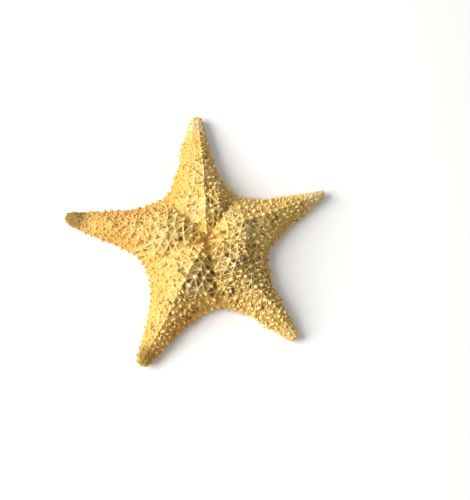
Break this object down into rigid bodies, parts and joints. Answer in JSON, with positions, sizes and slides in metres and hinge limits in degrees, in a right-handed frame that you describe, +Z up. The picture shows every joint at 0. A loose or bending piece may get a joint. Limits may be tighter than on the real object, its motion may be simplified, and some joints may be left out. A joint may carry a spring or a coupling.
{
  "type": "dried starfish",
  "caption": "Dried five-armed sea star with a high sunken disc, a net of ridges and knobs on top, conical spines along the margin and a furrow under each arm",
  "frame": {"origin": "on the ground under the middle of the bounding box; the middle of the disc is 6 mm to +X and 7 mm to -Y of it", "axes": "+Z up from the flat underside, +Y towards the arm that points to the top of the picture, +X to the picture's right"},
  "size_m": [0.2082, 0.2044, 0.0348],
  "materials": {
    "starfish": "dry, chalky and granular, golden tan with paler knobs and darker pits"
  },
  "bodies": {
    "root": {"starfish": "starfish"}
  },
  "joints": []
}
